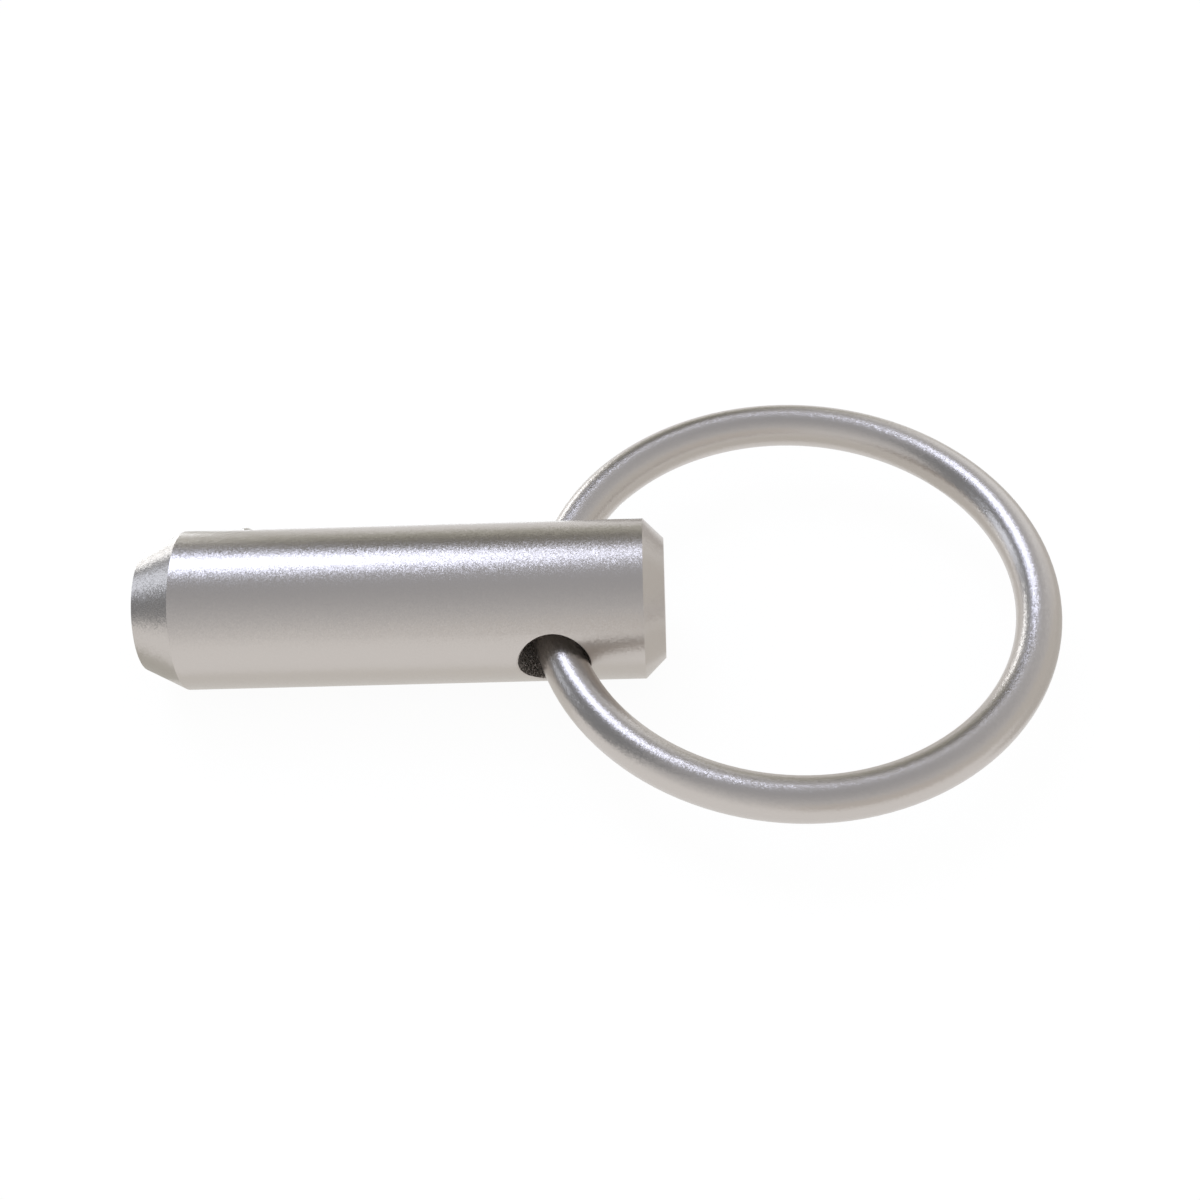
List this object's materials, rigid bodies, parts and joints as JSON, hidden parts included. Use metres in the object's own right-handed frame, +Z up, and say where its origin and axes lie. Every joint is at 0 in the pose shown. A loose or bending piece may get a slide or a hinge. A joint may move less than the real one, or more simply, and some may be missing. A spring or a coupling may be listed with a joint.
{
  "type": "quick lock pin",
  "caption": "Half-inch quick lock pin: a plain stainless shank with a tapered tip and a sprung detent ball, pulled by a closed wire ring through a cross hole near its head.",
  "frame": {"origin": "on the shank's axis, at the middle of the grip between the detent ball and the ring's cross hole", "axes": "+X along the shank towards its head and the ring, +Y along the ring's cross hole towards the side that carries the ball, +Z up, with the shank lying flat"},
  "size_m": [0.0724, 0.0417, 0.0126],
  "materials": {
    "shank_steel": "fine bead-blasted stainless steel",
    "ring_steel": "satin stainless steel wire",
    "ball_steel": "polished hardened ball",
    "spring_steel": "bright drawn spring wire"
  },
  "bodies": {
    "pin": {"pin_body": "shank_steel", "detent_spring": "spring_steel"},
    "ball": {"detent_ball": "ball_steel"},
    "ring": {"pull_ring": "ring_steel"}
  },
  "joints": [
    {"name": "ring_swing", "type": "hinge", "parent": "pin", "child": "ring", "pos_m": [0.01343, 0, 0], "axis": [0, 1, 0], "continuous": true},
    {"name": "ball_press", "type": "slide", "parent": "pin", "child": "ball", "axis": [0, -0.9272, -0.3746], "range_m": [0, 0.00055], "stiffness_N_per_m": 3100, "springref_m": -0.0005, "deforming": ["detent_spring"]}
  ]
}
